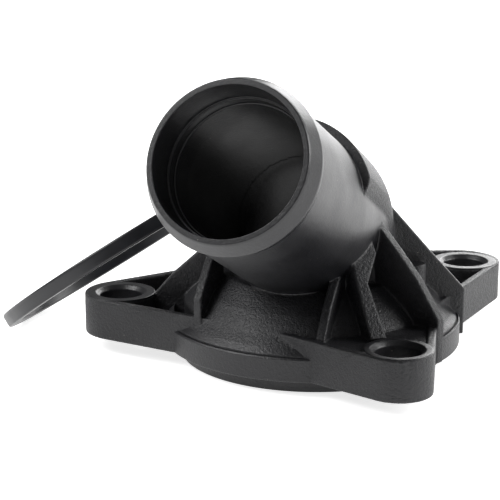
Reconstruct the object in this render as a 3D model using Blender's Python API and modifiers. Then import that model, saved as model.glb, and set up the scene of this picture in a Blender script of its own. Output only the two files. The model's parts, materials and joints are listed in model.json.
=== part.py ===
"""Thermostat housing cover: one black glass-filled nylon moulding, with its rubber seal ring behind it.

Metres, +Z up. The body is drawn about the Z axis of its round spigot, with z = 0 at the underside of the
flange. The front bolt hole lies towards -Y, and the hose neck rises towards -X and -Y. At the end both
pieces are moved together, so that the origin is the bottom centre of their common box.
"""

from math import cos, pi, radians, sin, tan

import bmesh
import bpy
from mathutils import Matrix, Vector

ROUND_STEPS = 72
LUG_ARC_STEPS = 24
OVERCUT = 0.001

# Spigot and flange
RIM_R = 0.0312
RIM_H = 0.00485
SEAL_LAND = 0.00355
SPIGOT_R = RIM_R - SEAL_LAND
SPIGOT_H = 0.00315
SPIGOT_WALL = 0.00275
LUG_H = 0.0085
LUG_WALL = 0.0018
BOSS_RISE = 0.00015
BOSS_FOOT = 0.0004
BOLT_R = 0.0045
BOLT_CHAMFER = 0.0009
INNER_REACH = 0.020
# Each lug, going round the flange: bolt hole, angle outwards, end radius, then for the left wall and the
# right wall, looking inwards, how far they spread and how long they are, and the height of the pocket's floor
LUGS = {
    "left": ((-0.0376, 0.0160), 162.6, 0.00883, (32.7, 31.3), (0.044, 0.030), 0.0020),
    "front": ((0.0031, -0.0388), -90.0, 0.0070, (31.6, 25.6), (0.030, 0.020), 0.0079),
    "right": ((0.0434, 0.0168), 17.75, 0.00907, (26.0, 33.0), (0.030, 0.044), 0.0020),
}
# Where the middle of each lug's round end lies from its bolt hole, and the radius of the boss round the hole
END_SHIFTS = {"left": (0.00127, 0.00043), "front": (0, 0), "right": (-0.00048, 0.00141)}
BOSS_RADII = {"left": 0.0074, "front": 0.0068, "right": 0.0075}

# Body of revolution above the flange
CONE_STEP = 0.0005
CONE_FOOT_R = RIM_R - CONE_STEP
EDGE_SOFT = 0.0003
CONE_MID = (0.0258, 0.0097)
CONE_TOP = (0.0205, 0.0138)
LEDGE_R = 0.0191
LEDGE_H = 0.0148
BARREL_R = 0.0170

# Hose neck, a straight tube that crosses the body's axis at NECK_CROSS_H
NECK_TURN = radians(-128.2)
NECK_RISE = radians(25.3)
NECK_CROSS_H = 0.02345
NECK_LENGTH = 0.05605
NECK_R = 0.0161
NECK_ROOT_R = 0.0165
NECK_TAIL = 0.0012
BEAD_R = 0.01665
BEAD_BACK = 0.0036
BEAD_LENGTH = 0.0024
FACE_R = 0.0155
FACE_SOFT = 0.0004
BEAD_FLAT = 0.0005
BORE_R = 0.0132
MOUTH_R = 0.0142
STEP_DEPTHS = (0.0076, 0.0102)
STEP_R = 0.0137

# Elbow dome over the root of the neck
BEND_R = 0.0100
ELBOW_FOOT_H = 0.0128
DOME_UNDERSIDE = 0.9
DOME_R = 0.0181
DOME_LENGTH = 0.0218
DOME_PARTING = radians(10)
BEND_STEPS = 12

# Hollow under the cover
CHAMBER_R = SPIGOT_R - SPIGOT_WALL
CHAMBER_H = 0.0062
THROAT_R = 0.0142
THROAT_H = 0.0124
SHELF_R = 0.0186
# The bend's bore is a little narrower than the neck's, so that the two surfaces never coincide
BEND_BORE_R = 0.0130
BEND_BORE_LENGTH = 0.0100

# Ribs: angle, height of the foot, then (distance from the axis, height) along the top edge, from outside
RIB_T = 0.0020
RADIAL_RIBS = {
    "left_lug": (156, 0.0015, ((0.0334, 0.0087), (0.0297, 0.0129), (0.0245, 0.0176), (0.012, 0.0305))),
    "front_right": (
        -59, 0.0010, ((0.0329, 0.0099), (0.0307, 0.0129), (0.0275, 0.0173), (0.0186, 0.0261), (0.012, 0.0325))
    ),
    "right_lug": (-16, 0.0005, ((0.0323, 0.0102), (0.0249, 0.0184), (0.0165, 0.0280), (0.012, 0.0330))),
    "back_right": (40, 0.0047, ((0.0323, 0.0102), (0.0249, 0.0184), (0.0165, 0.0280), (0.012, 0.0330))),
    "back": (98, 0.0047, ((0.0310, 0.0098), (0.0249, 0.0184), (0.0165, 0.0280), (0.012, 0.0330))),
}
# Ribs that run with the neck: middle of the plate to the side, thickness, top edge as (forward, height)
NECK_RIB_FOOT_H = 0.0030
NECK_RIBS = {
    "neck_left": (-0.0170, 0.0018, ((0.0229, 0.0118), (0.0209, 0.0146), (0.0161, 0.0193), (0.010, 0.0260))),
    "neck_middle": (0.0107, 0.00185, ((0.02815, 0.0084), (0.0240, 0.0138), (0.0200, 0.0174), (0.008, 0.0255))),
}
# Ejector post beside the right lug's rib
POST_AT = (0.0198, -0.00845)
POST_R = 0.0023
POST_TOP_H = 0.0164
# Front gusset: its sloping top face, as (sideways, up the slope) from the middle of its foot
GUSSET_FOOT = (0.0003, -0.0320, 0.0086)
GUSSET_SLOPE = radians(50.6)
GUSSET_DEPTH = 0.0120
GUSSET_TOP = ((0, 0), (0.0034, 0), (0.0024, 0.0118), (0.0024, 0.0180), (0, 0.0180))
FLARE_TOP = ((0.0003, 0.0100), (0.0022, 0.0115), (0.0057, 0.0182), (0.0054, 0.0215), (0.0003, 0.0215))
FLARE_DEPTH = 0.0020

# Seal ring, standing on its edge and leaning on the elbow's left side
SEAL_STRETCH = 0.00015
SEAL_BORE_R = SPIGOT_R - SEAL_STRETCH
SEAL_WALL = 0.0030
SEAL_H = 0.0031
SEAL_SOFT = 0.0005
SEAL_LEAN = radians(34.8)
SEAL_TURN = radians(-40.0)
SEAL_AT = (-0.0341, 0.0265)
SEAL_GAP = 0.0003
SEAL_SEARCH = 0.0120


def along(angle, length=1.0):
    return Vector((length * cos(angle), length * sin(angle), 0))


FORWARD = along(NECK_TURN)
SIDEWAYS = along(NECK_TURN + pi / 2)
UP = Vector((0, 0, 1))
NECK_AXIS = FORWARD * cos(NECK_RISE) + UP * sin(NECK_RISE)
CROSSING = UP * NECK_CROSS_H


def frame_of(x_axis, y_axis, z_axis, origin):
    turned = Matrix((x_axis, y_axis, z_axis)).transposed().to_4x4()
    return Matrix.Translation(origin) @ turned


def start_scene():
    """An empty scene with a collection for the two pieces and a hidden one for what shapes them."""
    for old in list(bpy.data.objects):
        bpy.data.objects.remove(old, do_unlink=True)
    groups = []
    for name in ("thermostat_housing_cover", "construction"):
        group = bpy.data.collections.new(name)
        bpy.context.scene.collection.children.link(group)
        groups.append(group)
    return groups


def plain_material(name, colour, roughness):
    made = bpy.data.materials.new(name)
    made.use_nodes = True
    shader = made.node_tree.nodes["Principled BSDF"]
    shader.inputs["Base Color"].default_value = (*colour, 1)
    shader.inputs["Roughness"].default_value = roughness
    shader.inputs["Metallic"].default_value = 0
    return made


def add_object(name, mesh, group, helper=True):
    made = bpy.data.objects.new(name, mesh)
    group.objects.link(made)
    if helper:
        made.hide_render = True
        made.display_type = "WIRE"
    return made


def turned(name, profile, group, closed=False, helper=True):
    """A solid turned about local Z from (radius, height) points that run down its outer side."""
    mesh = bpy.data.meshes.new(name)
    edges = [(i, i + 1) for i in range(len(profile) - 1)]
    if closed:
        edges.append((len(profile) - 1, 0))
    mesh.from_pydata([(r, 0, z) for r, z in profile], edges, [])
    made = add_object(name, mesh, group, helper)
    screw = made.modifiers.new("Turn", "SCREW")
    screw.steps = ROUND_STEPS
    screw.render_steps = ROUND_STEPS
    screw.use_merge_vertices = True
    screw.merge_threshold = 0.00001
    screw.use_smooth_shade = True
    return made


def plate(name, outline, bottom, top, group, placing=None):
    """A flat plate between two heights, with its outline in local X and Y."""
    curve = bpy.data.curves.new(name, "CURVE")
    curve.dimensions = "2D"
    curve.fill_mode = "BOTH"
    curve.extrude = (top - bottom) / 2
    spline = curve.splines.new("POLY")
    spline.points.add(len(outline) - 1)
    for point, (x, y) in zip(spline.points, outline):
        point.co = (x, y, 0, 1)
    spline.use_cyclic_u = True
    drawn = bpy.data.objects.new(name + "_outline", curve)
    bpy.context.scene.collection.objects.link(drawn)
    drawn.matrix_world = (placing or Matrix()) @ Matrix.Translation((0, 0, (top + bottom) / 2))
    bpy.context.view_layer.update()
    graph = bpy.context.evaluated_depsgraph_get()
    mesh = bpy.data.meshes.new_from_object(drawn.evaluated_get(graph))
    mesh.name = name
    made = add_object(name, mesh, group)
    made.matrix_world = drawn.matrix_world.copy()
    bpy.data.objects.remove(drawn)
    weld_mesh(mesh)
    return made


def weld_mesh(mesh):
    work = bmesh.new()
    work.from_mesh(mesh)
    bmesh.ops.remove_doubles(work, verts=work.verts, dist=0.000001)
    bmesh.ops.recalc_face_normals(work, faces=work.faces)
    work.to_mesh(mesh)
    work.free()


def hull(name, points, group):
    """The solid that a skin stretched over the points would hold."""
    work = bmesh.new()
    for point in points:
        work.verts.new(point)
    found = bmesh.ops.convex_hull(work, input=work.verts)
    loose = [v for v in found["geom_interior"] if isinstance(v, bmesh.types.BMVert)]
    bmesh.ops.delete(work, geom=loose, context="VERTS")
    bmesh.ops.recalc_face_normals(work, faces=work.faces)
    mesh = bpy.data.meshes.new(name)
    work.to_mesh(mesh)
    work.free()
    return add_object(name, mesh, group)


def combine(target, other, operation):
    """One Boolean step. Exact leaves open edges on this body's long chain of shapes, so it is Manifold."""
    step = target.modifiers.new(f"{operation.title()} {other.name}", "BOOLEAN")
    step.operation = operation
    step.solver = "MANIFOLD"
    step.object = other


def lug_outline(name, inset, short=0):
    """Plan of a lug: the left wall's far end, the arc of its end, the right wall's far end."""
    (x, y), angle, end_r, spreads, lengths, _ = LUGS[name]
    centre = Vector((x, y, 0)) + Vector((*END_SHIFTS[name], 0))
    left = radians(angle + 180 + spreads[0])
    right = radians(angle + 180 - spreads[1])
    start = left + pi / 2
    sweep = right - left + pi
    arc = [centre + along(start + sweep * i / LUG_ARC_STEPS, end_r - inset) for i in range(LUG_ARC_STEPS + 1)]
    far_left = arc[0] + along(left, lengths[0] - short)
    far_right = arc[-1] + along(right, lengths[1] - short)
    return [far_left, *arc, far_right]


def inner_corner(point):
    """The corner of the outline that is hidden under the body's cone, below this wall end."""
    return point.normalized() * INNER_REACH


def flange_outline():
    points = []
    for name in LUGS:
        walls = lug_outline(name, 0)
        if walls[0].length < RIM_R:
            walls.insert(0, inner_corner(walls[0]))
        if walls[-1].length < RIM_R:
            walls.append(inner_corner(walls[-1]))
        points += walls
    return [(p.x, p.y) for p in points]


def pocket_outline(name):
    walls = lug_outline(name, LUG_WALL, LUG_WALL)
    return [(p.x, p.y) for p in (*walls, inner_corner(walls[-1]), inner_corner(walls[0]))]


def bolt_boss(name, lug, group):
    (x, y) = lug[0]
    radius = BOSS_RADII[name]
    top = LUG_H + BOSS_RISE
    made = turned(name + "_boss", [(0, top), (radius, top), (radius, BOSS_FOOT), (0, BOSS_FOOT)], group)
    made.location = (x, y, 0)
    return made


def bolt_cutter(name, lug, group):
    (x, y) = lug[0]
    top = LUG_H + BOSS_RISE
    profile = [
        (0, top + OVERCUT),
        (BOLT_R + BOLT_CHAMFER + OVERCUT, top + OVERCUT),
        (BOLT_R, top - BOLT_CHAMFER),
        (BOLT_R, -OVERCUT),
        (0, -OVERCUT),
    ]
    made = turned(name + "_bolt_hole", profile, group)
    made.location = (x, y, 0)
    return made


def make_flange(group):
    """The three-lobed flange: pockets between thin walls, and a boss round each bolt hole."""
    flange = plate("flange", flange_outline(), 0, LUG_H, group)
    for name, lug in LUGS.items():
        pocket = plate(name + "_pocket", pocket_outline(name), lug[5], LUG_H + OVERCUT, group)
        combine(flange, pocket, "DIFFERENCE")
    for name, lug in LUGS.items():
        combine(flange, bolt_boss(name, lug, group), "UNION")
        combine(flange, bolt_cutter(name, lug, group), "DIFFERENCE")
    return flange


def make_body(group):
    """Spigot, rim, cone, ledge and the barrel that the neck grows from."""
    profile = [
        (0, LEDGE_H),
        (LEDGE_R, LEDGE_H),
        (CONE_TOP[0] - EDGE_SOFT, CONE_TOP[1] + EDGE_SOFT),
        CONE_TOP,
        CONE_MID,
        (CONE_FOOT_R, RIM_H),
        (RIM_R - EDGE_SOFT, RIM_H),
        (RIM_R, RIM_H - EDGE_SOFT),
        (RIM_R, 0),
        (SPIGOT_R, 0),
        (SPIGOT_R, EDGE_SOFT - SPIGOT_H),
        (SPIGOT_R - EDGE_SOFT, -SPIGOT_H),
        (0, -SPIGOT_H),
    ]
    return turned("housing_cover", profile, group, helper=False)


def make_neck(group):
    """The straight hose neck: a flat mouth face, a cone up to the bead, then a plain barrel."""
    bead = NECK_LENGTH - BEAD_BACK
    profile = [
        (0, NECK_LENGTH),
        (FACE_R - FACE_SOFT / 2, NECK_LENGTH),
        (FACE_R, NECK_LENGTH - FACE_SOFT),
        (BEAD_R, bead),
        (BEAD_R, bead - BEAD_FLAT),
        (NECK_R, bead - BEAD_LENGTH),
        (NECK_ROOT_R, DOME_LENGTH),
        (NECK_ROOT_R, NECK_TAIL),
        (0, NECK_TAIL),
    ]
    made = turned("neck", profile, group)
    made.matrix_world = frame_of(SIDEWAYS, NECK_AXIS.cross(SIDEWAYS), NECK_AXIS, CROSSING)
    return made


def elbow_points(barrel_r, neck_r, foot_h, length, underside):
    """Rings of points up the body's axis, round the bend to the neck's axis, and along the neck."""
    turn = pi / 2 - NECK_RISE
    start = CROSSING - UP * BEND_R * tan(turn / 2)
    rings = [(UP * foot_h, -FORWARD, barrel_r)]
    for i in range(BEND_STEPS + 1):
        bend = turn * i / BEND_STEPS
        centre = start + FORWARD * BEND_R * (1 - cos(bend)) + UP * BEND_R * sin(bend)
        outwards = UP * sin(bend) - FORWARD * cos(bend)
        rings.append((centre, outwards, barrel_r + (neck_r - barrel_r) * i / BEND_STEPS))
    centre, outwards, radius = rings[-1]
    rings.append((CROSSING + NECK_AXIS * length, outwards, radius))
    points = []
    for centre, outwards, radius in rings:
        for j in range(ROUND_STEPS):
            angle = 2 * pi * j / ROUND_STEPS
            upper = DOME_PARTING <= angle <= pi - DOME_PARTING
            reach = radius if upper or centre.z < start.z + OVERCUT else radius * underside
            points.append(centre + (SIDEWAYS * cos(angle) + outwards * sin(angle)) * reach)
    return points


def side_plate(name, x_axis, foot_h, edge, middle, thickness, group):
    """An upright rib: its top edge runs from the outer foot inwards, and its root is inside the body."""
    outline = [*edge, (edge[-1][0], foot_h), (edge[0][0], foot_h)]
    placing = frame_of(x_axis, UP, x_axis.cross(UP), Vector((0, 0, 0)))
    return plate(name, outline, middle - thickness / 2, middle + thickness / 2, group, placing)


def make_ribs(group):
    ribs = []
    for name, (angle, foot_h, edge) in RADIAL_RIBS.items():
        ribs.append(side_plate(name + "_rib", along(radians(angle)), foot_h, edge, 0, RIB_T, group))
    for name, (aside, thickness, edge) in NECK_RIBS.items():
        # The plate's own third axis points away from SIDEWAYS
        ribs.append(side_plate(name + "_rib", FORWARD, NECK_RIB_FOOT_H, edge, -aside, thickness, group))
    return ribs


def make_post(group):
    """The round post that an ejector pin pushes on, between the two right ribs."""
    made = turned("ejector_post", [(0, POST_TOP_H), (POST_R, POST_TOP_H), (POST_R, RIM_H), (0, RIM_H)], group)
    made.location = (*POST_AT, 0)
    return made


def make_gussets(group):
    """The gusset from the neck's root to the front bolt boss, and the flare that widens its upper end."""
    up_slope = Vector((0, cos(GUSSET_SLOPE), sin(GUSSET_SLOPE)))
    across = Vector((1, 0, 0))
    placing = frame_of(across, up_slope, across.cross(up_slope), Vector(GUSSET_FOOT))
    stem = plate("front_gusset", GUSSET_TOP, -GUSSET_DEPTH, 0, group, placing)
    flare = plate("front_gusset_flare", FLARE_TOP, -FLARE_DEPTH, 0, group, placing)
    return stem, flare


def hollow_body(group):
    """The chamber for the thermostat, open at the spigot, and the throat above it."""
    profile = [
        (0, THROAT_H),
        (SHELF_R, THROAT_H),
        (CHAMBER_R, CHAMBER_H),
        (CHAMBER_R, -SPIGOT_H - OVERCUT),
        (0, -SPIGOT_H - OVERCUT),
    ]
    return turned("chamber", profile, group)


def hollow_neck(group):
    """The neck's bore, with two small steps behind the mouth."""
    first, second = (NECK_LENGTH - depth for depth in STEP_DEPTHS)
    profile = [
        (0, NECK_LENGTH + OVERCUT),
        (MOUTH_R, NECK_LENGTH + OVERCUT),
        (MOUTH_R, first),
        (STEP_R, first),
        (STEP_R, second),
        (BORE_R, second),
        (BORE_R, NECK_TAIL),
        (0, NECK_TAIL),
    ]
    made = turned("neck_bore", profile, group)
    made.matrix_world = frame_of(SIDEWAYS, NECK_AXIS.cross(SIDEWAYS), NECK_AXIS, CROSSING)
    return made


def make_cover(pieces, helpers):
    cover = make_body(pieces)
    combine(cover, make_flange(helpers), "UNION")
    dome = elbow_points(BARREL_R, DOME_R, ELBOW_FOOT_H, DOME_LENGTH, DOME_UNDERSIDE)
    combine(cover, hull("elbow", dome, helpers), "UNION")
    combine(cover, make_neck(helpers), "UNION")
    for rib in make_ribs(helpers):
        combine(cover, rib, "UNION")
    for gusset in make_gussets(helpers):
        combine(cover, gusset, "UNION")
    combine(cover, make_post(helpers), "UNION")
    combine(cover, hollow_body(helpers), "DIFFERENCE")
    bend = elbow_points(THROAT_R, BEND_BORE_R, THROAT_H - OVERCUT, BEND_BORE_LENGTH, 1)
    combine(cover, hull("elbow_bore", bend, helpers), "DIFFERENCE")
    combine(cover, hollow_neck(helpers), "DIFFERENCE")
    return cover


def seal_profile():
    """Square section of the ring, with soft corners."""
    outer = SEAL_BORE_R + SEAL_WALL
    half = SEAL_H / 2
    soft = SEAL_SOFT
    return [
        (SEAL_BORE_R + soft, half),
        (outer - soft, half),
        (outer, half - soft),
        (outer, soft - half),
        (outer - soft, -half),
        (SEAL_BORE_R + soft, -half),
        (SEAL_BORE_R, soft - half),
        (SEAL_BORE_R, half - soft),
    ]


def gap_to_elbow(profile, placing):
    """Least distance from the ring's edges to the elbow's dome or to the neck beyond it."""
    nearest = 1.0
    for radius, height in profile:
        for i in range(ROUND_STEPS):
            angle = 2 * pi * i / ROUND_STEPS
            point = placing @ Vector((radius * cos(angle), radius * sin(angle), height))
            from_crossing = point - CROSSING
            out = from_crossing.dot(NECK_AXIS)
            aside = (from_crossing - NECK_AXIS * out).length
            surface = DOME_R if out < DOME_LENGTH + SEAL_GAP else NECK_ROOT_R
            nearest = min(nearest, aside - surface)
    return nearest


def make_seal(group):
    """The rubber ring that seals round the spigot, standing on the ground and leaning on the elbow."""
    profile = seal_profile()
    leaning = Matrix.Rotation(SEAL_TURN, 4, "Z") @ Matrix.Rotation(-SEAL_LEAN, 4, "Y")
    lowest = min(-r * sin(SEAL_LEAN) + z * cos(SEAL_LEAN) for r, z in profile)
    foot = Vector((*SEAL_AT, -SPIGOT_H - lowest))
    near, far = -SEAL_SEARCH, SEAL_SEARCH
    for _ in range(40):
        middle = (near + far) / 2
        placing = Matrix.Translation(foot - SIDEWAYS * middle) @ leaning
        if gap_to_elbow(profile, placing) < SEAL_GAP:
            near = middle
        else:
            far = middle
    seal = turned("seal_ring", profile, group, closed=True, helper=False)
    seal.matrix_world = placing
    return seal


def centre_on_ground(pieces):
    """Moves all pieces together, so that the origin is the bottom centre of their box."""
    bpy.context.view_layer.update()
    graph = bpy.context.evaluated_depsgraph_get()
    corners = []
    for piece in pieces:
        evaluated = piece.evaluated_get(graph)
        mesh = evaluated.to_mesh()
        corners += [piece.matrix_world @ vertex.co for vertex in mesh.vertices]
        evaluated.to_mesh_clear()
    low = Vector([min(p[i] for p in corners) for i in range(3)])
    high = Vector([max(p[i] for p in corners) for i in range(3)])
    shift = Matrix.Translation((-(low.x + high.x) / 2, -(low.y + high.y) / 2, -low.z))
    for made in bpy.data.objects:
        made.matrix_world = shift @ made.matrix_world


def main():
    pieces, helpers = start_scene()
    cover = make_cover(pieces, helpers)
    seal = make_seal(pieces)
    cover.data.materials.append(plain_material("black_nylon", (0.012, 0.012, 0.014), 0.5))
    seal.data.materials.append(plain_material("black_rubber", (0.010, 0.010, 0.012), 0.4))
    centre_on_ground((cover, seal))


main()
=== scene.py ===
import json
from math import cos, pi, radians, sin, tan

import bpy
import numpy as np
from mathutils import Matrix, Vector


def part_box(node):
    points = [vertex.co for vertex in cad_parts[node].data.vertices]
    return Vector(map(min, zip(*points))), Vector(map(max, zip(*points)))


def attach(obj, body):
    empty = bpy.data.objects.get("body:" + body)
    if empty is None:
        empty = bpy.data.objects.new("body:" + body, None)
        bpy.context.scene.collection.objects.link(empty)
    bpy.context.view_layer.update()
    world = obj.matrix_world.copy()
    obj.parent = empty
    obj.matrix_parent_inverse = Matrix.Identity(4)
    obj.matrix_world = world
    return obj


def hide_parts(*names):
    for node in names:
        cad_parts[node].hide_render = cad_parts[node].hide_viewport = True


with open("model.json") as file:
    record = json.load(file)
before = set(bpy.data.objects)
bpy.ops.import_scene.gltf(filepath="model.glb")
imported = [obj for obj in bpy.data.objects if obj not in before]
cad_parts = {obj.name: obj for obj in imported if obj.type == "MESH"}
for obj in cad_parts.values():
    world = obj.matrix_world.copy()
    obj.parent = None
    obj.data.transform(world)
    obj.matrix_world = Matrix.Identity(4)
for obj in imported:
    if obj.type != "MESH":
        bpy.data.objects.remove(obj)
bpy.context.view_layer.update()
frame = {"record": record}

# The spigot and rim: the foot of the moulding, from a turned and polished part of the mould. The spigot
# centres the cover in the engine, the land round it presses on the seal ring, and the chamber inside is
# open for the thermostat.

# Sizes are millimetres from the measuring point, on the spigot's axis at the underside of the rim
SPIGOT_H = 3.15
SPIGOT_R = 27.65
RIM_R = 31.2
RIM_H = 4.85
CHAMBER_R = 24.9
CHAMBER_SLOPE_H = 6.2
SHELF_R = 18.6
SHELF_H = 12.4
THROAT_R = 14.2
THROAT_TOP_H = 17.0
# The mount spigot_rest is on the spigot's end face, this far to the right of the axis
SPIGOT_REST_OUT = 26.1
SPIGOT_REST = next(m for m in frame["record"]["mounts"] if m["name"] == "spigot_rest")
MEASURING_POINT = np.array(SPIGOT_REST["pos_m"]) - np.array((SPIGOT_REST_OUT, 0, -SPIGOT_H)) / 1000
ORIGIN = np.zeros(3)
RIGHT = np.array((1.0, 0, 0))
BACK = np.array((0, 1.0, 0))
UP = np.array((0, 0, 1.0))


def in_frame(points):
    """Millimetres from the measuring point become metres in the frame."""
    return np.asarray(points, float) / 1000 + MEASURING_POINT


def linear(hex_colour):
    """An sRGB hex colour as linear red, green, blue and alpha."""
    srgb = np.array([int(hex_colour[i:i + 2], 16) for i in (1, 3, 5)]) / 255
    low, high = srgb / 12.92, ((srgb + 0.055) / 1.055) ** 2.4
    return (*np.where(srgb <= 0.04045, low, high), 1.0)


def add_node(tree, kind, settings=None, inputs=None):
    """Adds a shader node, sets its properties, and sets or links its inputs."""
    node = tree.nodes.new(kind)
    for name, value in (settings or {}).items():
        setattr(node, name, value)
    for name, value in (inputs or {}).items():
        if isinstance(value, bpy.types.NodeSocket):
            tree.links.new(value, node.inputs[name])
        else:
            node.inputs[name].default_value = value
    return node


# Black polyamide 66 with glass fibre, injection moulded. The fibres and the eroded mould give it a dull,
# finely mottled skin with a few pale fibre ends. Where the mould was polished, the skin is closer and has a
# satin gloss. The point attribute "polish" says which: 0 where it was eroded, 1 where it was polished. The
# real grain and fibre ends are about 0.1 mm and finer, and are drawn coarser here, so that they show.
MOTTLE_MM = 0.55
GRAIN_MM = 0.22
CLOUDS_PER_METRE = 130.0
RELIEF_MM = 0.2
ERODED_RELIEF, POLISHED_RELIEF = 1.0, 0.2
ERODED_ROUGHNESS = (0.42, 0.56)
POLISHED_ROUGHNESS = (0.33, 0.42)
NYLON_DARK, NYLON_PALE, FIBRE_END = "#050506", "#232327", "#77736c"
SPECK_SPACING_MM = 1.9
SPECK_R_IN_SPACINGS = 0.055
SPACINGS_WITHOUT_SPECK = 0.55
NYLON_IOR = 1.53


def nylon_material():
    made = bpy.data.materials.new("glass_filled_nylon")
    made.use_nodes = True
    tree = made.node_tree
    shader = tree.nodes["Principled BSDF"]
    where = add_node(tree, "ShaderNodeTexCoord").outputs["Object"]
    polish = add_node(tree, "ShaderNodeAttribute", {"attribute_name": "polish"}).outputs["Fac"]
    mottle = add_node(tree, "ShaderNodeTexNoise", {}, {
        "Vector": where, "Scale": 1000 / MOTTLE_MM, "Detail": 2.0, "Roughness": 0.6,
    }).outputs["Fac"]
    grain = add_node(tree, "ShaderNodeTexNoise", {}, {
        "Vector": where, "Scale": 1000 / GRAIN_MM, "Detail": 1.0,
    }).outputs["Fac"]
    cloud = add_node(tree, "ShaderNodeTexNoise", {}, {
        "Vector": where, "Scale": CLOUDS_PER_METRE, "Detail": 3.0,
    }).outputs["Fac"]

    # The grain stands up half as much as the mottle
    relief = add_node(tree, "ShaderNodeMath", {"operation": "MULTIPLY_ADD"}, {0: grain, 1: 0.5, 2: mottle})
    depth = add_node(tree, "ShaderNodeMapRange", {}, {
        "Value": polish, "To Min": ERODED_RELIEF, "To Max": POLISHED_RELIEF,
    })
    bump = add_node(tree, "ShaderNodeBump", {}, {
        "Height": relief.outputs[0], "Strength": depth.outputs["Result"], "Distance": RELIEF_MM / 1000,
    })
    tree.links.new(bump.outputs["Normal"], shader.inputs["Normal"])

    dull = add_node(tree, "ShaderNodeMapRange", {}, {
        "Value": mottle, "From Min": 0.3, "From Max": 0.7,
        "To Min": ERODED_ROUGHNESS[0], "To Max": ERODED_ROUGHNESS[1],
    })
    satin = add_node(tree, "ShaderNodeMapRange", {}, {
        "Value": cloud, "From Min": 0.3, "From Max": 0.7,
        "To Min": POLISHED_ROUGHNESS[0], "To Max": POLISHED_ROUGHNESS[1],
    })
    roughness = add_node(tree, "ShaderNodeMix", {"data_type": "FLOAT"}, {
        0: polish, 2: dull.outputs["Result"], 3: satin.outputs["Result"],
    })
    tree.links.new(roughness.outputs[0], shader.inputs["Roughness"])

    base = add_node(tree, "ShaderNodeMix", {"data_type": "RGBA"}, {
        0: mottle, 6: linear(NYLON_DARK), 7: linear(NYLON_PALE),
    })
    cells = add_node(tree, "ShaderNodeTexVoronoi", {}, {"Vector": where, "Scale": 1000 / SPECK_SPACING_MM})
    near = add_node(tree, "ShaderNodeMath", {"operation": "LESS_THAN"}, {
        0: cells.outputs["Distance"], 1: SPECK_R_IN_SPACINGS,
    })
    chance = add_node(tree, "ShaderNodeSeparateColor", {}, {"Color": cells.outputs["Color"]})
    chosen = add_node(tree, "ShaderNodeMath", {"operation": "GREATER_THAN"}, {
        0: chance.outputs["Red"], 1: SPACINGS_WITHOUT_SPECK,
    })
    speck = add_node(tree, "ShaderNodeMath", {"operation": "MULTIPLY"}, {
        0: near.outputs[0], 1: chosen.outputs[0],
    })
    colour = add_node(tree, "ShaderNodeMix", {"data_type": "RGBA"}, {
        0: speck.outputs[0], 6: base.outputs[2], 7: linear(FIBRE_END),
    })
    tree.links.new(colour.outputs[2], shader.inputs["Base Color"])
    shader.inputs["IOR"].default_value = NYLON_IOR
    return made


NYLON = nylon_material()


def rounded(profile, radius, steps=4):
    """The open profile with soft corners. Each corner becomes a curve between points up to the radius
    before and after it, and at most 0.3 of the shorter side: (1-t)^2 times the first, 2t(1-t) times the
    corner, t^2 times the last. One more point on each side keeps the flats flat in smooth shading."""
    corners = np.asarray(profile, float)
    middle = corners[1:-1]
    before, after = corners[:-2] - middle, corners[2:] - middle
    length_before = np.linalg.norm(before, axis=1, keepdims=True)
    length_after = np.linalg.norm(after, axis=1, keepdims=True)
    reach = np.minimum(radius, 0.3 * np.minimum(length_before, length_after))
    first, last = middle + before / length_before * reach, middle + after / length_after * reach
    t = np.linspace(0, 1, steps + 1)[None, :, None]
    curve = (1 - t) ** 2 * first[:, None] + 2 * t * (1 - t) * middle[:, None] + t ** 2 * last[:, None]
    lead, tail = middle + 1.5 * (first - middle), middle + 1.5 * (last - middle)
    soft = np.concatenate([lead[:, None], curve, tail[:, None]], axis=1).reshape(-1, 2)
    return np.concatenate([corners[:1], soft, corners[-1:]])


def turned(profile, steps, origin, across, upwards, axis):
    """A profile of (radius, distance along) carried round an axis: each point is the origin, plus the
    distance along the axis, plus the radius times the turning direction."""
    angle = np.linspace(0, 2 * pi, steps, endpoint=False)
    spoke = np.cos(angle)[:, None] * across + np.sin(angle)[:, None] * upwards
    points = origin + profile[None, :, 1, None] * axis + profile[None, :, 0, None] * spoke[:, None, :]
    n = len(profile)
    i, j = np.meshgrid(np.arange(steps), np.arange(n - 1), indexing="ij")
    k = (i + 1) % steps
    faces = np.stack([i * n + j, k * n + j, k * n + j + 1, i * n + j + 1], axis=-1)
    return points.reshape(-1, 3), faces.reshape(-1, 4)


def new_piece(name, points, faces, material, polish=1.0):
    """A smooth mesh from points in millimetres and four-sided faces, riding on the one body."""
    mesh = bpy.data.meshes.new(name)
    mesh.vertices.add(len(points))
    mesh.vertices.foreach_set("co", in_frame(points).astype(np.float32).ravel())
    mesh.loops.add(faces.size)
    mesh.loops.foreach_set("vertex_index", faces.astype(np.int32).ravel())
    mesh.polygons.add(len(faces))
    mesh.polygons.foreach_set("loop_start", np.arange(0, faces.size, 4, dtype=np.int32))
    mesh.update(calc_edges=True)
    mesh.polygons.foreach_set("use_smooth", np.ones(len(faces), bool))
    layer = mesh.attributes.new("polish", "FLOAT", "POINT")
    layer.data.foreach_set("value", np.broadcast_to(np.float32(polish), len(points)).copy())
    mesh.materials.append(material)
    piece = bpy.data.objects.new(name, mesh)
    bpy.context.scene.collection.objects.link(piece)
    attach(piece, "root")
    return piece


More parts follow.
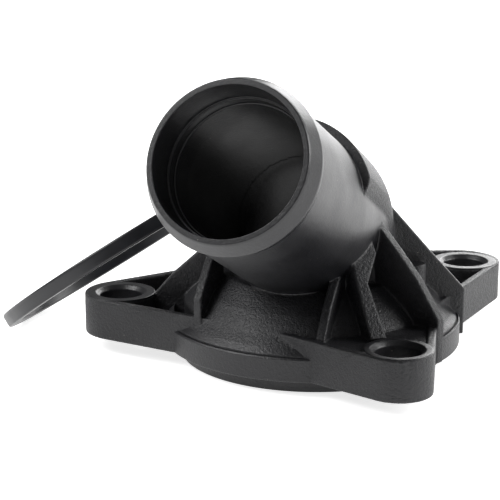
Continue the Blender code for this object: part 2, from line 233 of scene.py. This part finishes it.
# From the throat down through the chamber, round the spigot and up the rim, whose top edge is broken by a
# small chamfer and a shallow groove before it runs in under the cone
SPIGOT_PROFILE = (
    (THROAT_R, THROAT_TOP_H), (THROAT_R, SHELF_H), (SHELF_R, SHELF_H), (CHAMBER_R, CHAMBER_SLOPE_H),
    (CHAMBER_R, -SPIGOT_H), (SPIGOT_R, -SPIGOT_H), (SPIGOT_R, 0), (RIM_R, 0), (RIM_R, 4.55), (30.95, RIM_H),
    (30.75, RIM_H), (30.7, 4.6), (30.5, 4.6), (30.4, 5.2), (29.2, 6.28),
)
SPIGOT_EDGE = 0.25
points, faces = turned(rounded(SPIGOT_PROFILE, SPIGOT_EDGE), 360, ORIGIN, RIGHT, BACK, UP)
new_piece("spigot_and_rim", points, faces, NYLON, 0.5)

# The three bolt bosses: round pads in the lugs with plain 9 mm holes. The bolt heads bear on their smooth
# rings, which stand a little proud of the lugs, and a small lead-in helps the bolts in.
BOLT_R = 4.5
LEAD_IN = 0.87
BOSS_TOP = 8.65
BOSS_SEEN_FROM_H = 7.5
BOSS_DRAFT = 0.05
BOSS_FOOT_IN = 0.8
BOSS_FOOT_H = 0.3
BOSS_EDGE = 0.22
# hole: the bolt's axis. end_shift: from the hole to the middle of the lug's round end. angle: which way the
# lug points. spreads: how far its left and right walls turn from straight inwards. start: how far from the
# spigot's axis the lug begins. floor: the height of its pocket's floor.
LUGS = {
    "left": {
        "hole": (-37.6, 16.0), "end_shift": (1.27, 0.43), "end_r": 8.83, "boss_r": 7.4,
        "angle": 162.6, "spreads": (32.7, 31.3), "start": 8.0, "floor": 2.0,
    },
    "front": {
        "hole": (3.1, -38.8), "end_shift": (0, 0), "end_r": 7.0, "boss_r": 6.8,
        "angle": -90.0, "spreads": (31.6, 25.6), "start": 12.0, "floor": 7.9,
    },
    "right": {
        "hole": (43.4, 16.8), "end_shift": (-0.48, 1.41), "end_r": 9.07, "boss_r": 7.5,
        "angle": 17.75, "spreads": (26.0, 33.0), "start": 8.0, "floor": 2.0,
    },
}
for name, lug in LUGS.items():
    boss_r = lug["boss_r"]
    boss_profile = (
        (boss_r - BOSS_DRAFT, BOSS_SEEN_FROM_H), (boss_r - 2 * BOSS_DRAFT, BOSS_TOP),
        (BOLT_R + LEAD_IN, BOSS_TOP), (BOLT_R, BOSS_TOP - LEAD_IN), (BOLT_R, 0),
        (boss_r - BOSS_FOOT_IN, 0), (boss_r - BOSS_FOOT_IN, BOSS_FOOT_H),
    )
    hole = np.array((*lug["hole"], 0))
    points, faces = turned(rounded(boss_profile, BOSS_EDGE), 120, hole, RIGHT, BACK, UP)
    new_piece(name + "_bolt_boss", points, faces, NYLON, 0.8)

# The moulded body: the hollow lugs, the cone and its ledge, the elbow, and the ribs and gussets that
# stiffen them, all one injection moulding with soft edges and small fillets. Its skin is found where a
# distance formula is nothing, so that each join is filleted as in the mould.
NECK_TURN = radians(-128.2)
NECK_RISE = radians(25.3)
NECK_CROSS_H = 23.45
FORWARD = np.array((cos(NECK_TURN), sin(NECK_TURN), 0))
SIDEWAYS = np.array((-sin(NECK_TURN), cos(NECK_TURN), 0))
NECK_AXIS = FORWARD * cos(NECK_RISE) + UP * sin(NECK_RISE)
NECK_TOPWARD = np.cross(NECK_AXIS, SIDEWAYS)
CROSSING = UP * NECK_CROSS_H
LUG_H = 8.5
LUG_WALL = 1.8
EDGE = 0.3
RIB_FILLET = 0.3
BODY_FILLET = 0.6
CONE_FILLET = 0.4
NECK_FILLET = 0.12
CONE_LEFT_BY_POCKETS_R = 27.0
# Round each bolt hole the body is left open, for the turned boss
ROUND_BOLT_R = BOLT_R + 1.2
CONE = (
    (0, 4.0), (30.35, 4.0), (30.35, 5.15), (27.6, 7.7), (25.8, 9.7), (24.0, 11.4), (20.5, 13.9),
    (19.1, 14.8), (0, 14.8),
)
BARREL_R = 17.0
DOME_R = 18.25
# The dome swells out above the line where the mould halves meet, between these degrees up its side
PARTING_SWELL = (5, 24)
BELOW_PARTING_R = 16.0
BEND_R = 10.0
SHOULDER_AT = 21.8
NECK_ROOT_R = 16.5
NECK_END_R = 16.1
NECK_TAPER_FROM = 19.6
NECK_TAPER_LENGTH = 29.9
# The body's own neck is a stub, sunk a little under the turned hose neck and open at its end
NECK_STUB_LENGTH = 28.0
NECK_SUNK = 0.02
NECK_OPEN_FROM = 27.6
NECK_OPEN_R = 16.6
# name: angle, thickness, outline as distance from the axis and height
RADIAL_RIBS = {
    "left_lug": (156, 2.0, ((33.4, 1.5), (33.4, 8.7), (29.7, 12.9), (24.5, 17.6), (12, 30.5), (12, 1.5))),
    "front_right": (-59, 2.1, (
        (32.9, 1.0), (32.9, 9.9), (30.7, 12.9), (27.5, 17.3), (23.0, 21.9), (18.6, 26.1), (12, 32.5),
        (12, 1.0),
    )),
    "right_lug": (-16, 2.0, ((32.3, 0.2), (32.3, 10.2), (24.9, 18.4), (16.5, 28.0), (12, 33.0), (12, 0.2))),
    "back_right": (40, 2.0, ((32.3, 4.7), (32.3, 10.2), (24.9, 18.4), (16.5, 28.0), (12, 33.0), (12, 4.7))),
    "back": (98, 2.0, ((31.0, 4.7), (31.0, 9.8), (24.9, 18.4), (16.5, 28.0), (12, 33.0), (12, 4.7))),
}
# name: middle to the side, thickness, outline as distance forward and height
NECK_RIBS = {
    "neck_left": (-17.0, 1.8, (
        (26.0, 3.0), (26.0, 8.7), (23.8, 11.2), (20.9, 14.6), (16.1, 19.3), (10, 26.0), (10, 3.0),
    )),
    "neck_middle": (10.7, 1.85, (
        (28.15, 3.0), (28.15, 8.4), (24.0, 13.8), (20.0, 17.4), (14.5, 20.5), (8, 25.0), (8, 3.0),
    )),
}
RIB_PAST_LUG_WALL = 0.4
# The front gusset leans on the elbow and flares to the right at its top: across and up its sloping face
GUSSET_FOOT = (0.3, -32.0, 8.6)
GUSSET_SLOPE = radians(50.6)
GUSSET_TOP = ((0, 0), (3.4, 0), (2.4, 11.8), (2.4, 18.0), (0, 18.0))
GUSSET_DEPTH = 12.0
FLARE_TOP = ((0.3, 10.0), (2.2, 11.5), (5.7, 18.2), (5.4, 21.5), (0.3, 21.5))
FLARE_DEPTH = 2.0
# An ejector post stands between the two right ribs
POST_AT = (19.8, -8.45)
POST_R = 2.3
POST_TOP_H = 16.4
SKIN_PITCH = 0.3
MOST_TRIANGLES = 190000


def segment_distance(u, v, a, b):
    """Distance from points (u, v) to the segment a to b: what is left past its nearest point."""
    du, dv = b[0] - a[0], b[1] - a[1]
    along = np.clip(((u - a[0]) * du + (v - a[1]) * dv) / (du * du + dv * dv), 0, 1)
    return np.hypot(u - a[0] - along * du, v - a[1] - along * dv)


def outline_distance(u, v, outline):
    """Signed distance to a closed outline: least distance to its sides, less than nothing inside it."""
    nearest = np.full(u.shape, 1e3, np.float32)
    inside = np.zeros(u.shape, bool)
    for a, b in zip(outline, (*outline[1:], outline[0])):
        nearest = np.minimum(nearest, segment_distance(u, v, a, b))
        if a[1] != b[1]:
            crosses = (a[1] > v) != (b[1] > v)
            inside ^= crosses & (u < (b[0] - a[0]) * (v - a[1]) / (b[1] - a[1]) + a[0])
    return np.where(inside, -nearest, nearest)


def slab(flat, depth, edge):
    """A plate with rounded edges, from its outline's distance and the distance past its faces."""
    a, b = flat + edge, depth + edge
    return np.minimum(np.maximum(a, b), 0) + np.hypot(np.maximum(a, 0), np.maximum(b, 0)) - edge


def join(a, b, fillet):
    """Smooth union: the lesser distance, lowered where the two are nearer each other than the fillet."""
    blend = np.maximum(fillet - np.abs(a - b), 0) / fillet
    return np.minimum(a, b) - blend * blend * fillet / 4


def cut(a, b, fillet):
    """Smooth difference: a with b taken away."""
    return -join(-a, b, fillet)


def wedge_distance(x, y, tip, angle, spreads):
    """Plan distance to the wedge that opens inwards from its tip, and past its left and right walls."""
    left = radians(angle + 180 + spreads[0])
    right = radians(angle + 180 - spreads[1])
    px, py = x - tip[0], y - tip[1]
    to_left = -sin(left) * px + cos(left) * py
    to_right = sin(right) * px - cos(right) * py
    apex = np.hypot(px, py)
    off_left = np.where(px * cos(left) + py * sin(left) > 0, np.abs(to_left), apex)
    off_right = np.where(px * cos(right) + py * sin(right) > 0, np.abs(to_right), apex)
    inside = (to_left <= 0) & (to_right <= 0)
    plan = np.where(inside, np.maximum(to_left, to_right), np.minimum(off_left, off_right))
    return plan, to_left, to_right


def lug_plan(x, y, name):
    """Plan distance to a lug's outline, a wedge grown by the end radius, and past its two walls."""
    lug = LUGS[name]
    tip = (lug["hole"][0] + lug["end_shift"][0], lug["hole"][1] + lug["end_shift"][1])
    return [d - lug["end_r"] for d in wedge_distance(x, y, tip, lug["angle"], lug["spreads"])]


def flange_distances(x, y, z):
    """The three lugs as one plate, and the pockets between their thin walls and round the bolt bosses."""
    plans = {name: lug_plan(x, y, name) for name in LUGS}
    back_left, back_right = plans["left"][1], plans["right"][2]
    rib_angle, rib_thickness, _ = RADIAL_RIBS["front_right"]
    past_rib = y * cos(radians(rib_angle)) - x * sin(radians(rib_angle)) - rib_thickness / 2
    plates, pockets = None, []
    for name, lug in LUGS.items():
        turn = radians(lug["angle"])
        reach = lug["start"] - x * cos(turn) - y * sin(turn)
        plan = np.maximum(plans[name][0], reach)
        hollow = np.maximum(plans[name][0] + LUG_WALL, reach)
        if name == "front":
            # Its right wall ends at the front right rib
            plan, hollow = np.maximum(plan, past_rib), np.maximum(hollow, past_rib)
        else:
            # The back walls of the left and right lugs meet each other
            plan = np.maximum(plan, np.maximum(back_left, back_right))
            hollow = np.maximum(hollow, np.maximum(back_left, back_right) + LUG_WALL)
        boss = np.hypot(x - lug["hole"][0], y - lug["hole"][1]) - lug["boss_r"]
        pockets.append(np.maximum(np.maximum(hollow, -boss), lug["floor"] - z))
        plates = plan if plates is None else np.minimum(plates, plan)
    return slab(plates, np.abs(z - LUG_H / 2) - LUG_H / 2, EDGE), pockets


def elbow_distance(x, y, z, barrel_r, neck_r, end, parted):
    """A tube up the body's axis, round a bend and along the neck, swelling from one radius to the other. A
    parted one swells only above the line where the mould halves meet."""
    ahead = x * FORWARD[0] + y * FORWARD[1]
    aside = x * SIDEWAYS[0] + y * SIDEWAYS[1]
    turn = pi / 2 - NECK_RISE
    start_z = NECK_CROSS_H - BEND_R * tan(turn / 2)
    bend = np.clip(np.arctan2(z - start_z, BEND_R - ahead), 0, turn)
    bend = np.where((ahead > BEND_R) & (z < start_z), 0, bend)
    centre_a = BEND_R - BEND_R * np.cos(bend)
    centre_z = start_z + BEND_R * np.sin(bend)
    top = -(ahead - centre_a) * np.cos(bend) + (z - centre_z) * np.sin(bend)
    radius = barrel_r + (neck_r - barrel_r) * bend / turn
    if parted:
        angle = np.arcsin(np.clip(top / np.maximum(np.hypot(top, aside), 1e-3), -1, 1))
        start, full = (radians(a) for a in PARTING_SWELL)
        lift = np.clip((angle - start) / (full - start), 0, 1)
        low = barrel_r + (BELOW_PARTING_R - barrel_r) * bend / turn
        radius = low + (radius - low) * lift * lift * (3 - 2 * lift)
    past = (x * NECK_AXIS[0] + y * NECK_AXIS[1] + (z - NECK_CROSS_H) * NECK_AXIS[2]) - end
    return slab(np.hypot(top, aside) - radius, past, EDGE)


def neck_place(x, y, z):
    """Distance along the neck from where it crosses the body's axis, and out from its own axis."""
    along = x * NECK_AXIS[0] + y * NECK_AXIS[1] + (z - NECK_CROSS_H) * NECK_AXIS[2]
    aside = x * SIDEWAYS[0] + y * SIDEWAYS[1]
    topward = x * NECK_TOPWARD[0] + y * NECK_TOPWARD[1] + (z - NECK_CROSS_H) * NECK_TOPWARD[2]
    return along, np.hypot(aside, topward)


def neck_radius(along):
    """The neck narrows evenly from its root to the bead."""
    share = np.clip((along - NECK_TAPER_FROM) / NECK_TAPER_LENGTH, 0, 1)
    return NECK_ROOT_R + (NECK_END_R - NECK_ROOT_R) * share


def rib_distances(x, y, z):
    """Each upright rib, as an outline in its own plane with a thickness."""
    found = []
    for angle, thickness, outline in RADIAL_RIBS.values():
        out = x * cos(radians(angle)) + y * sin(radians(angle))
        aside = -x * sin(radians(angle)) + y * cos(radians(angle))
        found.append(slab(outline_distance(out, z, outline), np.abs(aside) - thickness / 2, EDGE))
    for name, (middle, thickness, outline) in NECK_RIBS.items():
        out = x * FORWARD[0] + y * FORWARD[1]
        aside = x * SIDEWAYS[0] + y * SIDEWAYS[1] - middle
        flat = outline_distance(out, z, outline)
        if name == "neck_left":
            # Its foot ends at the left lug's front wall
            flat = np.maximum(flat, lug_plan(x, y, "left")[2] - RIB_PAST_LUG_WALL)
        found.append(slab(flat, np.abs(aside) - thickness / 2, EDGE))
    return found


def gusset_distance(x, y, z):
    """The front gusset and its flare, as outlines on one sloping plane with their depths below it."""
    across = x - GUSSET_FOOT[0]
    up = (y - GUSSET_FOOT[1]) * cos(GUSSET_SLOPE) + (z - GUSSET_FOOT[2]) * sin(GUSSET_SLOPE)
    above = -(y - GUSSET_FOOT[1]) * sin(GUSSET_SLOPE) + (z - GUSSET_FOOT[2]) * cos(GUSSET_SLOPE)
    stem_depth = np.abs(above + GUSSET_DEPTH / 2) - GUSSET_DEPTH / 2
    flare_depth = np.abs(above + FLARE_DEPTH / 2) - FLARE_DEPTH / 2
    stem = slab(outline_distance(across, up, GUSSET_TOP), stem_depth, EDGE)
    flare = slab(outline_distance(across, up, FLARE_TOP), flare_depth, EDGE)
    return np.minimum(stem, flare)


def cover_distance(x, y, z):
    """Signed distance in millimetres to the outer skin of the moulded body, as if it were not hollow."""
    plates, pockets = flange_distances(x, y, z)
    from_middle = np.hypot(x, y)
    solid = join(plates, outline_distance(from_middle, z, CONE), CONE_FILLET)
    for pocket in pockets:
        solid = cut(solid, np.maximum(pocket, CONE_LEFT_BY_POCKETS_R - from_middle), 2 * EDGE)
    for lug in LUGS.values():
        solid = np.maximum(solid, ROUND_BOLT_R - np.hypot(x - lug["hole"][0], y - lug["hole"][1]))
    along, from_axis = neck_place(x, y, z)
    half_stub = NECK_STUB_LENGTH / 2
    neck = np.maximum(from_axis - neck_radius(along) + NECK_SUNK, np.abs(along - half_stub) - half_stub)
    elbow = elbow_distance(x, y, z, BARREL_R, DOME_R, SHOULDER_AT, True)
    solid = join(solid, join(elbow, neck, NECK_FILLET), BODY_FILLET)
    for rib in rib_distances(x, y, z):
        solid = join(solid, rib, RIB_FILLET)
    solid = join(solid, gusset_distance(x, y, z), RIB_FILLET)
    post_depth = np.abs(z - POST_TOP_H / 2) - POST_TOP_H / 2
    post = slab(np.hypot(x - POST_AT[0], y - POST_AT[1]) - POST_R, post_depth, EDGE)
    return join(solid, post, RIB_FILLET)


def grid_values(distance, axes, block=16):
    """The distance at each grid point. A block whose middle is further from the skin than its corners are
    from its middle holds no skin, so it gets its middle's value throughout."""
    shape = tuple(len(axis) for axis in axes)
    starts = [np.arange(0, n, block) for n in shape]
    half = (block / 2) * (axes[0][1] - axes[0][0])
    middles = np.meshgrid(
        *[axis[0] + (s + block / 2) * (axis[1] - axis[0]) for s, axis in zip(starts, axes)], indexing="ij",
    )
    rough = distance(*middles)
    values = np.empty(shape, np.float32)
    # A cube's corner is 1.74 half sides from its middle, and a smooth union's distance is a little short
    far = half * 1.9
    for place in np.ndindex(rough.shape):
        part = tuple(slice(s[i], s[i] + block) for s, i in zip(starts, place))
        if abs(rough[place]) > far:
            values[part] = rough[place]
        else:
            values[part] = distance(*np.meshgrid(*[axis[p] for axis, p in zip(axes, part)], indexing="ij"))
    return values


def skin_of(distance, low, high, pitch):
    """Points and four-sided faces where distance is nothing, on a grid of cubes.

    Each cube that the skin passes through gets one point, the mean of where the skin crosses its edges, and
    each grid edge that it crosses gets one face between the four cubes round it. The points are then moved
    twice along the distance's slope, onto the skin itself."""
    axes = [np.arange(a, b + pitch, pitch, dtype=np.float32) for a, b in zip(low, high)]
    values = grid_values(distance, axes)
    strides = np.array((values.shape[1] * values.shape[2], values.shape[2], 1))
    keys, places, rings = [], [], []
    for axis in range(3):
        lower = tuple(slice(0, -1) if k == axis else slice(None) for k in range(3))
        upper = tuple(slice(1, None) if k == axis else slice(None) for k in range(3))
        crossed = np.argwhere((values[lower] < 0) != (values[upper] < 0))
        va, vb = values[lower][tuple(crossed.T)], values[upper][tuple(crossed.T)]
        where = crossed.astype(np.float64)
        where[:, axis] += va / (va - vb)
        one, two = (axis + 1) % 3, (axis + 2) % 3
        around = ((0, 0), (1, 0), (1, 1), (0, 1))
        keys += [crossed @ strides - s * strides[one] - t * strides[two] for s, t in around]
        places += [where] * 4
        rings.append((len(crossed), va < 0))
    _, index = np.unique(np.concatenate(keys), return_inverse=True)
    places = np.concatenate(places)
    count = np.bincount(index)
    points = np.stack([np.bincount(index, places[:, k]) / count for k in range(3)], axis=1)
    points = (points * pitch + np.array([axis[0] for axis in axes])).astype(np.float32)
    faces, start = [], 0
    for n, outwards in rings:
        quads = index[start:start + 4 * n].reshape(4, n).T
        faces.append(np.where(outwards[:, None], quads, quads[:, ::-1]))
        start += 4 * n
    step = pitch * 0.1
    nudges = step * np.eye(3, dtype=np.float32)
    for _ in range(2):
        here = distance(*points.T)
        slope = np.stack([distance(*(points + nudge).T) - here for nudge in nudges], axis=1) / step
        move = here[:, None] * slope / np.maximum((slope * slope).sum(axis=1, keepdims=True), 0.25)
        points = points - np.clip(move, -pitch, pitch)
    return points, np.concatenate(faces)


MARGIN = 1
CHAMBER_OPEN_R, CHAMBER_OPEN_BELOW_H = 26.5, 4.2
RIM_COVERS_R, RIM_COVERS_BELOW_H = 29.5, 0.3
low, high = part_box("housing_cover")
low = (np.array(low) - MEASURING_POINT) * 1000 - MARGIN
high = (np.array(high) - MEASURING_POINT) * 1000 + MARGIN
# The spigot below the lugs is a piece of its own
low[2] = -MARGIN
points, faces = skin_of(cover_distance, low, high, SKIN_PITCH)
# No skin is wanted in the open chamber, under the rim, or at the stub's end, where the hose neck carries on
middles = points[faces].mean(axis=1)
along, from_axis = neck_place(*middles.T)
from_middle = np.hypot(middles[:, 0], middles[:, 1])
in_chamber = (middles[:, 2] < CHAMBER_OPEN_BELOW_H) & (from_middle < CHAMBER_OPEN_R)
under_rim = (middles[:, 2] < RIM_COVERS_BELOW_H) & (from_middle < RIM_COVERS_R)
neck_end = (along > NECK_OPEN_FROM) & (from_axis < NECK_OPEN_R)
faces = faces[~(in_chamber | under_rim | neck_end)]
used, faces = np.unique(faces, return_inverse=True)
points, faces = points[used], faces.reshape(-1, 4)
# The neck's stub is polished as the hose neck is, and the rest of the body is eroded
along, from_axis = neck_place(*points.T)
on_neck = np.clip(1.5 - 6 * np.abs(from_axis - neck_radius(along)), 0, 1) * np.clip(along / 4, 0, 1)
body = new_piece("moulded_body", points, faces, NYLON, on_neck)
thinning = body.modifiers.new("Thin the flats", "DECIMATE")
thinning.ratio = min(1.0, MOST_TRIANGLES / (2 * len(faces)))
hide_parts("housing_cover")

# The hose neck: the moulding's smooth round stub, with a flat mouth face, a bead that holds the hose, and
# two small steps in its bore where the core pins of the mould meet.
NECK_LENGTH = 56.05
BEAD_R = 16.65
BORE_STEPS = (14.15, 13.7, 13.2)
NECK_EDGE = 0.3
# Up the outside, over the bead, across the mouth and back down the bore
NECK_PROFILE = (
    (NECK_ROOT_R, 22.5), (16.36, 30.0), (NECK_END_R, 49.9), (BEAD_R, 51.9), (BEAD_R, 52.4), (15.45, 55.6),
    (15.2, NECK_LENGTH), (14.25, NECK_LENGTH), (BORE_STEPS[0], 55.9), (BORE_STEPS[0], 48.5),
    (BORE_STEPS[1], 48.4), (BORE_STEPS[1], 46.0), (13.4, 45.9), (BORE_STEPS[2], 40.0), (BORE_STEPS[2], 8.0),
)
neck_profile = rounded(NECK_PROFILE, NECK_EDGE)
points, faces = turned(neck_profile, 320, CROSSING, SIDEWAYS, NECK_TOPWARD, NECK_AXIS)
new_piece("hose_neck", points, faces, NYLON, 1.0)

# The water passage: the inside of the elbow, between the thermostat's chamber and the neck, as the polished
# cores left it.
PASSAGE_PITCH = 0.8
PASSAGE_END_R = 13.1
PASSAGE_END = 10.0
PASSAGE_OPEN_BELOW_H = 16.0
PASSAGE_OPEN_PAST = 9.3
PASSAGE_BOX = ((-17, -26, 14), (17, 17, 46))


def passage_distance(x, y, z):
    """Signed distance to the skin of the elbow's inside, a bent tube."""
    return elbow_distance(x, y, z, THROAT_R, PASSAGE_END_R, PASSAGE_END, False)


points, faces = skin_of(passage_distance, *PASSAGE_BOX, PASSAGE_PITCH)
middles = points[faces].mean(axis=1)
along, _ = neck_place(*middles.T)
# Both ends are open, and the faces look into the passage
faces = faces[(middles[:, 2] > PASSAGE_OPEN_BELOW_H) & (along < PASSAGE_OPEN_PAST)][:, ::-1]
new_piece("water_passage", points, faces, NYLON, 1.0)

# The seal ring: moulded rubber, square in section with soft corners, taken off the spigot and leaning
# behind the cover.
SEAL_BORE_R = 27.5
SEAL_WALL = 2.9
SEAL_H = 3.0
SEAL_SOFT = 0.55
SEAL_LEAN = radians(34.8)
SEAL_TURN = radians(-40.0)
SEAL_STEPS = 360

# Black nitrile rubber from a polished mould: a soft sheen that goes cloudy where it was handled, over a
# very fine grain, drawn at 0.4 mm so that it shows.
RUBBER_DARK, RUBBER_PALE = "#0d0e11", "#1c1d22"
RUBBER_CLOUD_SCALE, RUBBER_GRAIN_SCALE = 220.0, 2600.0
RUBBER_ROUGHNESS = (0.3, 0.42)
RUBBER_IOR = 1.52


def rubber_material():
    made = bpy.data.materials.new("moulded_nitrile_rubber")
    made.use_nodes = True
    tree = made.node_tree
    shader = tree.nodes["Principled BSDF"]
    where = add_node(tree, "ShaderNodeTexCoord").outputs["Object"]
    cloud = add_node(tree, "ShaderNodeTexNoise", {}, {
        "Vector": where, "Scale": RUBBER_CLOUD_SCALE, "Detail": 4.0,
    }).outputs["Fac"]
    fine = add_node(tree, "ShaderNodeTexNoise", {}, {
        "Vector": where, "Scale": RUBBER_GRAIN_SCALE, "Detail": 1.0,
    }).outputs["Fac"]
    colour = add_node(tree, "ShaderNodeMix", {"data_type": "RGBA"}, {
        0: cloud, 6: linear(RUBBER_DARK), 7: linear(RUBBER_PALE),
    })
    tree.links.new(colour.outputs[2], shader.inputs["Base Color"])
    sheen = add_node(tree, "ShaderNodeMapRange", {}, {
        "Value": cloud, "From Min": 0.3, "From Max": 0.7,
        "To Min": RUBBER_ROUGHNESS[0], "To Max": RUBBER_ROUGHNESS[1],
    })
    tree.links.new(sheen.outputs["Result"], shader.inputs["Roughness"])
    bump = add_node(tree, "ShaderNodeBump", {}, {"Height": fine, "Strength": 0.15, "Distance": 0.00005})
    tree.links.new(bump.outputs["Normal"], shader.inputs["Normal"])
    shader.inputs["IOR"].default_value = RUBBER_IOR
    return made


half_wall, half_h = SEAL_WALL / 2, SEAL_H / 2
# The section starts and ends in the middle of its lower side
seal_corners = (
    (0, -half_h), (half_wall, -half_h), (half_wall, half_h), (-half_wall, half_h), (-half_wall, -half_h),
    (0, -half_h),
)
seal_section = rounded(seal_corners, SEAL_SOFT, 6) + (SEAL_BORE_R + half_wall, 0)
seal_low, seal_high = (np.array(corner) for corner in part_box("seal_ring"))
seal_centre = ((seal_low + seal_high) / 2 - MEASURING_POINT) * 1000
seal_normal = np.array((
    -sin(SEAL_LEAN) * cos(SEAL_TURN), -sin(SEAL_LEAN) * sin(SEAL_TURN), cos(SEAL_LEAN),
))
seal_across = np.array((-sin(SEAL_TURN), cos(SEAL_TURN), 0))
seal_upwards = np.cross(seal_normal, seal_across)
points, faces = turned(seal_section[:-1], SEAL_STEPS, seal_centre, seal_across, seal_upwards, seal_normal)
# One more row of faces, from the section's last point to its first, closes the ring
n = len(seal_section) - 1
i = np.arange(SEAL_STEPS)
k = (i + 1) % SEAL_STEPS
closing = np.stack([i * n + n - 1, k * n + n - 1, k * n, i * n], axis=1)
faces = np.concatenate([faces, closing])
seal = new_piece("rubber_seal_ring", points, faces, rubber_material())
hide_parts("seal_ring")

# The floor: a plain pale sheet, in metres. It shows white to the camera and keeps the object's shadow.
FLOOR_HALF = 8.0
FLOOR_LIFT = 0.75


def floor_material():
    """Matt pale paper, lifted to white for the camera and for what mirrors or lets through its view."""
    made = bpy.data.materials.new("pale_paper")
    made.use_nodes = True
    tree = made.node_tree
    shader = tree.nodes["Principled BSDF"]
    shader.inputs["Base Color"].default_value = linear("#f4f4f4")
    shader.inputs["Roughness"].default_value = 0.9
    shader.inputs["Specular IOR Level"].default_value = 0.1
    rays = add_node(tree, "ShaderNodeLightPath")
    seen = add_node(tree, "ShaderNodeMath", {"operation": "MAXIMUM"}, {
        0: rays.outputs["Is Camera Ray"], 1: rays.outputs["Is Glossy Ray"],
    })
    seen = add_node(tree, "ShaderNodeMath", {"operation": "MAXIMUM"}, {
        0: seen.outputs[0], 1: rays.outputs["Is Transmission Ray"],
    })
    lift = add_node(tree, "ShaderNodeMath", {"operation": "MULTIPLY"}, {0: seen.outputs[0], 1: FLOOR_LIFT})
    shader.inputs["Emission Color"].default_value = (1, 1, 1, 1)
    tree.links.new(lift.outputs[0], shader.inputs["Emission Strength"])
    return made


mesh = bpy.data.meshes.new("floor")
corners = [(x * FLOOR_HALF, y * FLOOR_HALF, 0) for x, y in ((-1, -1), (1, -1), (1, 1), (-1, 1))]
mesh.from_pydata(corners, [], [(0, 1, 2, 3)])
mesh.materials.append(floor_material())
floor = bpy.data.objects.new("floor", mesh)
bpy.context.scene.collection.objects.link(floor)

# The light: a large soft box low on the right, one from the upper left, one low behind the right side that
# lights the edges and the tops of the lugs, and a weak even room light.
ROOM_LIGHT = 0.16
AIM_H = 0.03
# name: turn and rise in degrees, distance and size in metres, power in watts
SOFT_BOXES = {
    "right_soft_box": (-18, 26, 0.9, 0.45, 5.5),
    "left_soft_box": (176, 44, 1.0, 0.55, 8.0),
    "back_soft_box": (46, 20, 0.9, 0.5, 6.0),
}
world = bpy.data.worlds.new("studio")
bpy.context.scene.world = world
world.use_nodes = True
world.node_tree.nodes["Background"].inputs["Color"].default_value = (1, 1, 1, 1)
world.node_tree.nodes["Background"].inputs["Strength"].default_value = ROOM_LIGHT
for name, (turn, rise, distance, size, power) in SOFT_BOXES.items():
    data = bpy.data.lights.new(name, "AREA")
    data.shape = "SQUARE"
    data.size = size
    data.energy = power
    lamp = bpy.data.objects.new(name, data)
    bpy.context.scene.collection.objects.link(lamp)
    turn, rise = radians(turn), radians(rise)
    towards = Vector((cos(turn) * cos(rise), sin(turn) * cos(rise), sin(rise)))
    lamp.location = towards * distance + Vector((0, 0, AIM_H))
    lamp.rotation_euler = towards.to_track_quat("Z", "Y").to_euler()

# The camera, at the photograph's viewing angle: a long lens a little above the cover, at its front left.
CAMERA_AT = (-114.997, -307.704, 104.278)
LOOKING = np.array((0.302226, 0.919225, -0.252358))
CAMERA_UP = np.array((0.077916, 0.240031, 0.967633))
data = bpy.data.cameras.new("camera")
data.lens = 116.15
data.sensor_width = 36
data.clip_start = 0.01
camera = bpy.data.objects.new("camera", data)
bpy.context.scene.collection.objects.link(camera)
axes = np.stack([np.cross(LOOKING, CAMERA_UP), CAMERA_UP, -LOOKING], axis=1)
camera.matrix_world = Matrix.Translation(in_frame(CAMERA_AT).tolist()) @ Matrix(axes.tolist()).to_4x4()
bpy.context.scene.camera = camera
bpy.context.scene.view_settings.view_transform = "Standard"
